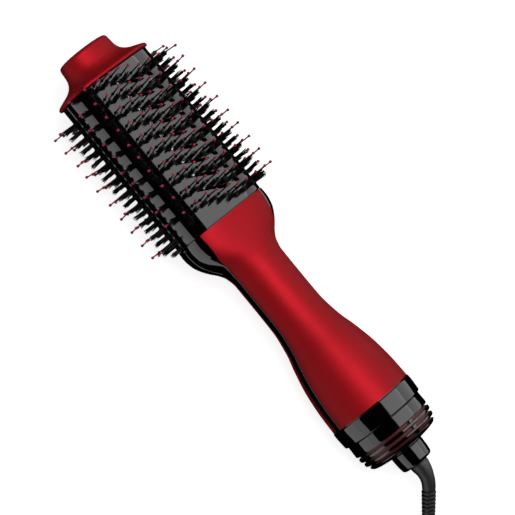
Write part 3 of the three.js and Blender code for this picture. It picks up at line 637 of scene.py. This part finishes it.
def frame_bands():
    """The black frame between the shells: a band each side, with a groove that fades out at the neck."""
    builder = Builder()
    stations = handle_stations()
    shares = [-1, -0.97, -0.9, -0.8, -0.65, -0.5, -0.4, -0.3]
    groove = [-0.7, -0.4, 0, 0.4, 0.7]
    for side in (1, -1):
        start = len(builder.points)
        for s in stations:
            a, b, n = section(HANDLE, s)
            edge = smooth(SEAM, s) - SEAM_GAP
            fade = max(0.0, min(1.0, (GROOVE_END - s) / GROOVE_FADE))
            for h in [k * edge for k in shares] + groove + [-k * edge for k in shares[::-1]]:
                depth = GROOVE_DEPTH * fade * max(0.0, 1 - (abs(h) / GROOVE_HALF) ** 2)
                roll = BAND_ROLL * max(0.0, (abs(h) / edge - 0.9) / 0.1) ** 2
                u, v = oval(a - depth - roll, b - depth - roll, n, seam_angle(h, a, b, n))
                builder.points.append(place(s, side * u, v))
        builder.faces += grid(len(stations), len(shares) * 2 + len(groove), offset=start)
    bands = builder.make("frame_bands", GLOSS, "gloss_black", replaces=["mid_frame"], sheet=True)
    add_wall(bands, SHELL_WALL)
    return settle(bands)


def oval_tube(name, s0, s1, inset, wall, table):
    """A ring a little inside the handle's skin."""
    sides = 120
    points = []
    for s, extra in ((s0, 0.0), (s1, 0.0), (s1, wall), (s0, wall)):
        a, b, n = section(table, s, inset + extra)
        points += [place(s, *oval(a, b, n, angle)) for angle in around(sides)]
    return piece(name, points, grid(4, sides, True, True), GLOSS, "gloss_black")


def side_tabs():
    """The small round catches that stand proud at the start of the frame, one each side."""
    builder = Builder()
    for side in (1, -1):
        builder.stalk([place(145.9, side * u, 0) for u in (33.6, 35.4, 36.0, 36.15)], [1.5, 1.5, 1.25, 0.7], 20)
    return builder.make("frame_catches", GLOSS, "gloss_black")


# ---- selector, cup and hub -----------------------------------------------------------------------
def selector_ring():
    outline = [(RING_START, 28.2), (RING_START, 31.0), (RING_START + 0.6, 31.5), (RING_START + 5, 31.55),
               (RING_END - 0.6, 31.1), (RING_END, 30.6), (RING_END, 28.2)]
    return turned("selector_grip", outline, GLOSS, "gloss_black", body="selector", round_by=0.35,
                  replaces=["selector_ring"])


CUP_SLOTS, CUP_SLOT_HALF, CUP_RIBS = (323.3, 327.8, 332.0), 0.95, 4


def intake_cup():
    """The slotted cup, its neck and floor, and the red sleeve behind its slots."""
    sides = 144
    drops = {313.3: -0.5, 313.5: -0.15}  # how far the skin stands back at s, for the round edges
    for s in (313.9, 316.0, 318.5, 320.5, 334.0, 334.6, 335.0, 335.3, 335.7, 336.2, 336.9, 337.3):
        drops[s] = 0.0
    for middle in CUP_SLOTS:
        for reach, drop in ((1.0, -0.42), (1.2, -0.16), (1.5, 0.0)):
            drops[round(middle - reach, 2)] = drop
            drops[round(middle + reach, 2)] = drop
    heights = sorted(drops)
    points = []
    for s in heights:
        r = smooth(CUP, s) + drops[s]
        points += [place(s, r * math.cos(a), r * math.sin(a)) for a in around(sides)]
    faces = []
    between_ribs = sides // CUP_RIBS
    for i in range(len(heights) - 1):
        middle = (heights[i] + heights[i + 1]) / 2
        slotted = any(abs(middle - m) < CUP_SLOT_HALF for m in CUP_SLOTS)
        for j in range(sides):
            if slotted and 0 < j % between_ribs < between_ribs - 1:
                continue
            k = (j + 1) % sides
            faces.append((i * sides + j, i * sides + k, (i + 1) * sides + k, (i + 1) * sides + j))
    cup = piece("intake_cup_skin", points, faces, GLOSS, "gloss_black", replaces=["intake_cup"], sheet=True)
    add_wall(cup, BARREL_WALL)
    settle(cup)
    neck = [(299.0, 27.1), (314.5, 27.1), (314.5, 28.6), (315.2, 28.6), (315.2, 25.3), (299.0, 25.3)]
    turned("cup_neck", neck, GLOSS, "gloss_black", round_by=0.2)
    floor = [(335.6, 8.6), (335.6, 13.5), (337.25, 13.0), (337.25, 8.6)]
    turned("cup_floor", floor, GLOSS, "gloss_black", round_by=0.15)
    liner = [(320.0, 27.1), (329.6, 26.1), (333.0, 24.4), (333.0, 23.5), (329.6, 25.4), (320.0, 26.4)]
    return turned("filter_sleeve", liner, LINER_RED, "accent_red", round_by=0.1, replaces=["intake_liner"])


def cord_hub():
    outline = [(337.6, 7.3), (337.6, 12.4), (344.0, 12.2), (348.3, 11.7), (349.6, 10.9), (350.0, 9.4), (349.6, 7.6),
               (347.0, 7.3)]
    return turned("hub_collar", outline, GLOSS, "gloss_black", round_by=0.5, replaces=["cord_hub"])


# ---- strain relief -------------------------------------------------------------------------------
DROOP = math.radians(55)  # the way it bends, from straight aside towards straight back
RELIEF_START, RELIEF_STRAIGHT, RELIEF_RADIUS, RELIEF_BEND = 350.3, 2.7, 21.7, math.radians(42)
RELIEF_LENGTH = 40.0
BOOT = [  # run, radius
    (-0.2, 5.0), (0.0, 6.2), (0.3, 6.6), (1.5, 6.6), (3.0, 6.4), (5.5, 5.9), (8.0, 5.45), (11.0, 5.0),
    (14.0, 4.75), (17.0, 4.62), (19.4, 4.56)]
RIBS_START, RIB_PITCH, RIB_RADIUS, RIB_TAPER = 19.8, 2.75, 4.85, 0.45
RIB = [  # run from the rib's start, radius less the rib's
    (0.0, -1.1), (0.1, -1.3), (1.0, -1.3), (1.1, -0.8), (1.2, -0.15), (1.4, 0.0), (2.4, 0.0), (2.62, -0.15)]


def relief_frame(run):
    """The centre, the way on and the in-plane normal of the strain relief at a run."""
    turned_run = max(0.0, min(run - RELIEF_STRAIGHT, RELIEF_RADIUS * RELIEF_BEND))
    angle = turned_run / RELIEF_RADIUS
    before = min(run, RELIEF_STRAIGHT)
    after = run - turned_run - before
    s = RELIEF_START + before + RELIEF_RADIUS * math.sin(angle) + after * math.cos(angle)
    drop = RELIEF_RADIUS * (1 - math.cos(angle)) + after * math.sin(angle)
    down = -ACROSS * math.cos(DROOP) - OUT * math.sin(DROOP)
    centre = BRUSH_AT + (AXIS * s + down * drop) * MM
    ahead = AXIS * math.cos(angle) + down * math.sin(angle)
    normal = down * math.cos(angle) - AXIS * math.sin(angle)
    return centre, ahead, normal


def strain_relief():
    """A smooth boot, then a sleeve of ribs that narrows to the cord."""
    profile = list(BOOT)
    start = RIBS_START
    while start + RIB_PITCH < RELIEF_LENGTH + 0.3:
        top = RIB_RADIUS - RIB_TAPER * (start - RIBS_START) / (RELIEF_LENGTH - RIBS_START)
        profile += [(start + along, top + out) for along, out in RIB]
        start += RIB_PITCH
    end = profile[-1][0]
    profile += [(end + 0.15, 3.95), (end + 0.1, 3.4)]
    sides = 48
    points = []
    for run, radius in profile:
        centre, ahead, normal = relief_frame(run)
        points += circle(centre, normal, ahead.cross(normal), radius, around(sides))
    return piece("relief_boot", points, capped(len(profile), sides), RUBBER, "cord_black", body="swivel",
                 replaces=["strain_relief"])


# ---- cord and tie --------------------------------------------------------------------------------
CORD_D = 7.5
LANDING, WAY_IN = (224.5, -20.5), math.radians(-29.9)  # where the cord reaches the floor, and its way on from there
# the coil winds in on the floor, steps up, and winds out on top. Angles are in degrees from where the cord comes in
COIL_X, COIL_Y = 299.4, 0.5
COIL_IN, COIL_PITCH = 32.5, 7.7  # the innermost turn's radius, and the way from a turn to the next
LEVEL, LIFT = 3.9, 7.8  # the cord's centre on the floor, and the second layer's height over it
TURN_IN, TURN_RISE, TURN_OUT = 1080.0, 1200.0, 2204.9
THETA_IN = -119.9
TIE_ANGLE, TIE_LIFT, TIE_REACH = 90, 1.25, 60  # at the tie the turns ride a little high
PLUG_AT = (364.3, -37.8)
PLUG_MIDDLE = 13  # the plug's middle over the floor


def coil_point(rel):
    """The cord's centre in the coil, in mm on the floor, at an angle on from where it comes in."""
    if rel <= TURN_IN:
        r = COIL_IN + COIL_PITCH * (TURN_IN - rel) / 360
    else:
        r = COIL_IN + COIL_PITCH * max(0.0, rel - TURN_RISE) / 360
    z = LEVEL + LIFT * ease((rel - TURN_IN) / (TURN_RISE - TURN_IN))
    theta = math.radians(THETA_IN + rel)
    from_tie = (math.degrees(theta) - TIE_ANGLE + 180) % 360 - 180
    z += TIE_LIFT * ease(1 - abs(from_tie) / TIE_REACH)
    return Vector((COIL_X + r * math.cos(theta), COIL_Y + r * math.sin(theta), z))


def bezier(p0, p1, p2, p3, count):
    """Points of a cubic curve from p0 to p3, with p0 left out."""
    return [p0 * (1 - t) ** 3 + p1 * 3 * t * (1 - t) ** 2 + p2 * 3 * t * t * (1 - t) + p3 * t**3
            for t in (i / count for i in range(1, count + 1))]


def cord_route():
    """Inside the relief, down to the floor, straight on to the coil, round it and out to the plug, in mm.
    The plain numbers beside a direction are how far along it a point or a curve's handle lies."""
    end, ahead, _ = relief_frame(RELIEF_LENGTH)
    end = end / MM
    points = [end - ahead * 8, end - ahead * 4, end, ahead * 3 + end]
    landing = Vector((*LANDING, LEVEL))
    way_in = Vector((math.cos(WAY_IN), math.sin(WAY_IN), 0))
    points += bezier(points[-1], points[-1] + ahead * 6, landing - way_in * 7, landing, 6)
    first = coil_point(0)
    points += [landing + (first - landing) * (i / 5) for i in range(1, 5)]
    steps = int(TURN_OUT / 20)
    points += [coil_point(TURN_OUT * i / steps) for i in range(steps + 1)]
    last = points[-1]
    way_out = (points[-1] - points[-2]).normalized()
    plug = Vector((PLUG_AT[0] + 1.0, PLUG_AT[1], PLUG_MIDDLE))
    points += bezier(last, last + Vector((way_out.x, way_out.y, -0.03)) * 17, plug - Vector((15, 0, 0)), plug, 7)
    return points


def spline(points, per):
    """A smooth curve through the points, with per points for each of them."""
    out = []
    for i in range(len(points) - 1):
        p0, p1 = points[max(i - 1, 0)], points[i]
        p2, p3 = points[i + 1], points[min(i + 2, len(points) - 1)]
        for k in range(per):
            t = k / per
            out.append(0.5 * ((2 * p1) + (p2 - p0) * t + (2 * p0 - 5 * p1 + 4 * p2 - p3) * t * t
                              + (3 * p1 - p0 - 3 * p2 + p3) * t**3))
    out.append(points[-1])
    return out


def swept(name, centres, radius, sides, material, slot, **options):
    """A round tube whose section is carried along the curve without twist."""
    points = []
    ahead = (centres[1] - centres[0]).normalized()
    side = ahead.orthogonal().normalized()
    for i, c in enumerate(centres):
        ahead = (centres[min(i + 1, len(centres) - 1)] - centres[max(i - 1, 0)]).normalized()
        side = (side - ahead * side.dot(ahead)).normalized()
        points += circle(c, side, ahead.cross(side), radius, around(sides))
    return piece(name, points, capped(len(centres), sides), material, slot, **options)


def cord():
    route = [p * MM for p in cord_route()]
    obj = swept("mains_cord", spline(route, 3), CORD_D / 2, 16, RUBBER, "cord_black", ride=False,
                replaces=["power_cord", "cord_coil", "plug_lead"])
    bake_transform(obj)
    return obj, route


def cord_tie():
    """A plain strap closed round all the turns at one side of the coil."""
    half, wall = 4.6, 0.8
    y0, y1, z0, z1 = COIL_Y + 31.0, COIL_Y + 55.9, 0.15, 17.6
    loop = rounded_rectangle(y0, z0, y1, z1, 4.4, steps=8)
    inner = rounded_rectangle(y0 + wall, z0 + wall, y1 - wall, z1 - wall, 3.6, steps=8)
    points = []
    for x, ring in ((-half, inner), (-half, loop), (half, loop), (half, inner)):
        points += [floor_point(COIL_X + x, p.x, p.y) for p in ring]
    strap = piece("tie_strap", points, grid(4, len(loop), True, True), MOULDED, "cord_black", replaces=["cord_tie"])
    soften_rims(strap, 0.2)
    return settle(strap)


# ---- plug, which lies flat on the floor ----------------------------------------------------------
PLUG_L, PLUG_W, PLUG_H = 62.0, 34.0, 26.0
NECK_HALF, NECK_LENGTH = 5.6, 14  # where the cord goes in, and how long the housing takes to widen from there
END_START, END_INSET = 60, 1.6  # the face with the blades has a round edge
RIDGES, RIDGE_PITCH, RIDGE_DEPTH, RIDGE_HALF = (20, 55), 3.2, 0.35, 6  # finger ridges down both sides
BEZEL = ((4.4, 6.4, 1.0), (6, 8, 2.2))  # inside and outside: half-length, half-width, corner
BEZEL_LOW, BEZEL_HIGH = 24.5, 26.35
BUTTONS = [  # run, node, body, material, slot
    (24, "test_button", "test", NYLON, "nylon"), (42, "reset_button", "reset", LINER_RED, "accent_red")]
BUTTON_HALF_L, BUTTON_HALF_W, BUTTON_LOW, BUTTON_HIGH, BUTTON_EDGE = 4, 6, 24.0, 27.0, 0.9
BLADE_L, BLADE_HALF, BLADE_THICK, BLADE_ASIDE = 16.7, 3.2, 1.5, 6.35
HOLE_AT, HOLE_RADIUS = 12, 1.4


def plug_body():
    """A block that swells from the cord's end, with finger ridges down its sides and a frame for each button."""
    x0, y0 = PLUG_AT
    runs = spread(0, 14, 15) + spread(15, 58, 44) + [59, 60, 60.8, 61.4, 61.8, 62.0]
    sides = 64
    points = []
    for run in runs:
        swell = ease(run / NECK_LENGTH)
        w = NECK_HALF + (PLUG_W / 2 - NECK_HALF) * swell
        h = NECK_HALF + (PLUG_H / 2 - NECK_HALF) * swell
        n = 2.2 + 4.3 * swell
        inset = END_INSET * max(0.0, (run - END_START) / (PLUG_L - END_START)) ** 2
        ridge = 0.0
        if RIDGES[0] < run < RIDGES[1]:
            ridge = RIDGE_DEPTH * max(0.0, math.sin((run - RIDGES[0]) / RIDGE_PITCH * 2 * math.pi))
        for angle in around(sides):
            y, z = oval(w - inset, h - inset, n, angle)
            if abs(z) < RIDGE_HALF:
                y -= math.copysign(ridge, y)
            points.append(floor_point(x0 + run, y0 + y, PLUG_MIDDLE + z))
    body = piece("plug_housing", points, capped(len(runs), sides), GLOSS, "gloss_black", replaces=["plug_body"])
    for at, *_ in BUTTONS:
        inner, outer = (rounded_rectangle(at - a, -b, at + a, b, corner) for a, b, corner in BEZEL)
        points = []
        for ring, z in ((inner, BEZEL_LOW), (outer, BEZEL_LOW), (outer, BEZEL_HIGH), (inner, BEZEL_HIGH)):
            points += [floor_point(x0 + p.x, y0 + p.y, z) for p in ring]
        piece(f"button_bezel_{at}", points, grid(4, len(outer), True, True), MOULDED, "gloss_black")
    return body


def rounded_box(name, low, high, edge, material, slot, **options):
    """A box with round edges, in mm on the floor."""
    (x0, y0, z0), (x1, y1, z1) = low, high
    loop = rounded_rectangle(x0, y0, x1, y1, edge * 1.6)
    cx, cy = (x0 + x1) / 2, (y0 + y1) / 2
    levels = []
    for k in range(5):
        t = k / 4 * math.pi / 2
        levels.append((edge * (1 - math.sin(t)), z0 + edge * (1 - math.cos(t))))
    levels += [(inset, z1 - (z - z0)) for inset, z in levels[::-1]]
    points = []
    for inset, z in levels:
        sx = 1 - 2 * inset / (x1 - x0)
        sy = 1 - 2 * inset / (y1 - y0)
        points += [floor_point(cx + (p.x - cx) * sx, cy + (p.y - cy) * sy, z) for p in loop]
    return piece(name, points, capped(len(levels), len(loop)), material, slot, **options)


def plug_buttons():
    x0, y0 = PLUG_AT
    for at, name, body, material, slot in BUTTONS:
        low = (x0 + at - BUTTON_HALF_L, y0 - BUTTON_HALF_W, BUTTON_LOW)
        high = (x0 + at + BUTTON_HALF_L, y0 + BUTTON_HALF_W, BUTTON_HIGH)
        rounded_box(f"{name}_cap", low, high, BUTTON_EDGE, material, slot, body=body, replaces=[name])


def plug_blades():
    """Two flat blades with a round hole near their ends."""
    x0, y0 = PLUG_AT
    x = x0 + PLUG_L + 0.1
    for side, name in ((1, "plug_blade_line"), (-1, "plug_blade_neutral")):
        y = y0 + side * BLADE_ASIDE
        outline = rounded_rectangle(x, PLUG_MIDDLE - BLADE_HALF, x + BLADE_L, PLUG_MIDDLE + BLADE_HALF, 1.6)
        hole = [(x + HOLE_AT + HOLE_RADIUS * math.cos(a), PLUG_MIDDLE + HOLE_RADIUS * math.sin(a)) for a in around(20)]
        flat = [Vector((p[0], p[1])) for p in outline + hole]
        rings = [list(range(len(outline))), list(range(len(outline), len(flat)))]
        made = delaunay_2d_cdt(flat, [], rings, 1, 1e-6)
        inside = [tuple(f) for f, o in zip(made[2], made[5]) if 1 not in o]
        points = [floor_point(p.x, y + BLADE_THICK / 2, p.y) for p in made[0]]
        blade = piece(f"{name}_bar", points, inside, STEEL, "steel", replaces=[name])
        add_wall(blade, BLADE_THICK, offset=1 if blade.data.polygons[0].normal.y < 0 else -1)
        soften_rims(blade, 0.18)
        settle(blade)


# ---- camera, lights and floor --------------------------------------------------------------------
LOOK_OUT, LOOK_ASIDE = 0.883, 0.469  # the camera stands in front of the wide face and a little to one side
AXIS_RIGHT, AXIS_DOWN = 0.6335, 0.7737  # the way the brush's axis runs in the picture
AIM_S, AIM_UP, CAMERA_AWAY, LENS = 178.7, 3.75, 1.65, 175.3
LIGHT_MIDDLE = Vector((0.03, 0.0, 0.03))  # what every light faces
BOX_AWAY, BOX_LENGTH = 0.9, 1.6
BOXES = [  # name, angle, width, brightness of the soft boxes that glossy surfaces show
    ("box_top_right", 20, 0.90, 3.0), ("box_right", 67, 0.75, 1.95), ("box_left", -81, 0.32, 1.8)]
SATIN_ANGLE, SATIN_AWAY, SATIN_WIDTH, SATIN_BRIGHTNESS = -7, 1.2, 0.45, 44.8
WORLD_COLOUR = (0.07, 0.07, 0.072, 1)  # an even, weak light from everywhere, which nothing mirrors
FLOOR_HALF = 6.0
GLOW_LEFT, GLOW_RIGHT, GLOW_HEIGHT, GLOW_BRIGHTNESS = -1.2, -0.082, 0.0004, 1.8


def set_camera():
    towards = OUT * LOOK_OUT - ACROSS * LOOK_ASIDE
    across_image = ACROSS * LOOK_OUT + OUT * LOOK_ASIDE
    right = AXIS * AXIS_RIGHT + across_image * AXIS_DOWN
    up = across_image * AXIS_RIGHT - AXIS * AXIS_DOWN
    aim = BRUSH_AT + (AXIS * AIM_S + across_image * AIM_UP) * MM
    data = bpy.data.cameras.new("photo_view")
    data.lens, data.sensor_width = LENS, 36.0
    data.clip_start, data.clip_end = 0.05, 20
    camera = bpy.data.objects.new("photo_view", data)
    bpy.context.scene.collection.objects.link(camera)
    basis = Matrix((right.normalized(), up.normalized(), towards.normalized())).transposed()
    camera.matrix_world = Matrix.Translation(aim + towards.normalized() * CAMERA_AWAY) @ basis.to_4x4()
    bpy.context.scene.camera = camera


def radiance(value, width, length):
    """The power of a rectangular light that looks as bright as a value."""
    return value * math.pi * width * length


def panel(name, angle, distance, width, length, power, glossy=True, diffuse=False):
    """A soft light that faces the brush from an angle off the vertical, towards +Y."""
    data = bpy.data.lights.new(name, "AREA")
    data.shape, data.size, data.size_y, data.energy = "RECTANGLE", width, length, power
    lamp = bpy.data.objects.new(name, data)
    bpy.context.scene.collection.objects.link(lamp)
    a = math.radians(angle)
    back = Vector((0, math.sin(a), math.cos(a)))
    sideways = Vector((0, math.cos(a), -math.sin(a)))
    basis = Matrix((sideways, Vector((-1, 0, 0)), back)).transposed()
    lamp.matrix_world = Matrix.Translation(LIGHT_MIDDLE + back * distance) @ basis.to_4x4()
    lamp.visible_camera = False
    lamp.visible_glossy = glossy
    lamp.visible_diffuse = diffuse
    return lamp


def set_lights():
    """Comes after the pieces, because one light reaches only those that hold the satin red."""
    for name, angle, width, brightness in BOXES:
        panel(name, angle, BOX_AWAY, width, BOX_LENGTH, radiance(brightness, width, BOX_LENGTH))
    panel("key", angle=-12, distance=1.4, width=0.7, length=0.9, power=5, glossy=False, diffuse=True)
    # the long soft highlight down the middle of the satin red, which the glossy black doesn't show
    satin = panel("satin_key", SATIN_ANGLE, SATIN_AWAY, SATIN_WIDTH, BOX_LENGTH,
                  radiance(SATIN_BRIGHTNESS, SATIN_WIDTH, BOX_LENGTH))
    satin_pieces = bpy.data.collections.new("satin_pieces")
    for obj in bpy.data.objects:
        if obj.type == "MESH" and RED.name in [m.name for m in obj.data.materials if m]:
            satin_pieces.objects.link(obj)
    satin.light_linking.receiver_collection = satin_pieces
    world = bpy.data.worlds.new("studio")
    bpy.context.scene.world = world
    world.use_nodes = True
    world.node_tree.nodes["Background"].inputs["Color"].default_value = WORLD_COLOUR
    world.cycles_visibility.glossy = False
    bpy.context.scene.view_settings.view_transform = "Standard"


def flat_card(name, x0, y0, x1, y1, z, material):
    """A level rectangle at a height, in metres."""
    mesh = bpy.data.meshes.new(name)
    mesh.from_pydata([(x0, y0, z), (x1, y0, z), (x1, y1, z), (x0, y1, z)], [], [(0, 1, 2, 3)])
    mesh.materials.append(material)
    card = bpy.data.objects.new(name, mesh)
    bpy.context.scene.collection.objects.link(card)
    return card


def set_floor():
    floor = flat_card("floor", -FLOOR_HALF, -FLOOR_HALF, FLOOR_HALF, FLOOR_HALF, 0, FLOOR)
    floor.visible_glossy = False
    floor.visible_diffuse = False
    # a strip of floor left of the brush that only reflections see
    glow = bpy.data.materials.new("floor_glow")
    glow.use_nodes = True
    shader = glow.node_tree.nodes["Principled BSDF"]
    shader.inputs["Base Color"].default_value = (0, 0, 0, 1)
    shader.inputs["Emission Color"].default_value = (1, 1, 1, 1)
    shader.inputs["Emission Strength"].default_value = GLOW_BRIGHTNESS
    card = flat_card("floor_glow", -1, GLOW_LEFT, 1, GLOW_RIGHT, GLOW_HEIGHT, glow)
    card.visible_camera = False
    card.visible_diffuse = False
    card.visible_shadow = False
    card.visible_transmission = False


set_camera()
tip_cap()
barrel_half(1)
barrel_half(-1)
face_bristles(1, "front")
face_bristles(-1, "back")
side_bristles(1, "right")
side_bristles(-1, "left")
handle_shell(1)
handle_shell(-1)
frame_bands()
oval_tube("shoulder_socket", 141.5, 149.0, 2.2, 1.4, SHOULDER)
oval_tube("base_socket", 296.5, 302.0, 2.2, 1.2, HANDLE)
side_tabs()
selector_ring()
intake_cup()
cord_hub()
strain_relief()
mains_cord, route = cord()
cord_tie()
plug_body()
plug_buttons()
plug_blades()
set_lights()
set_floor()
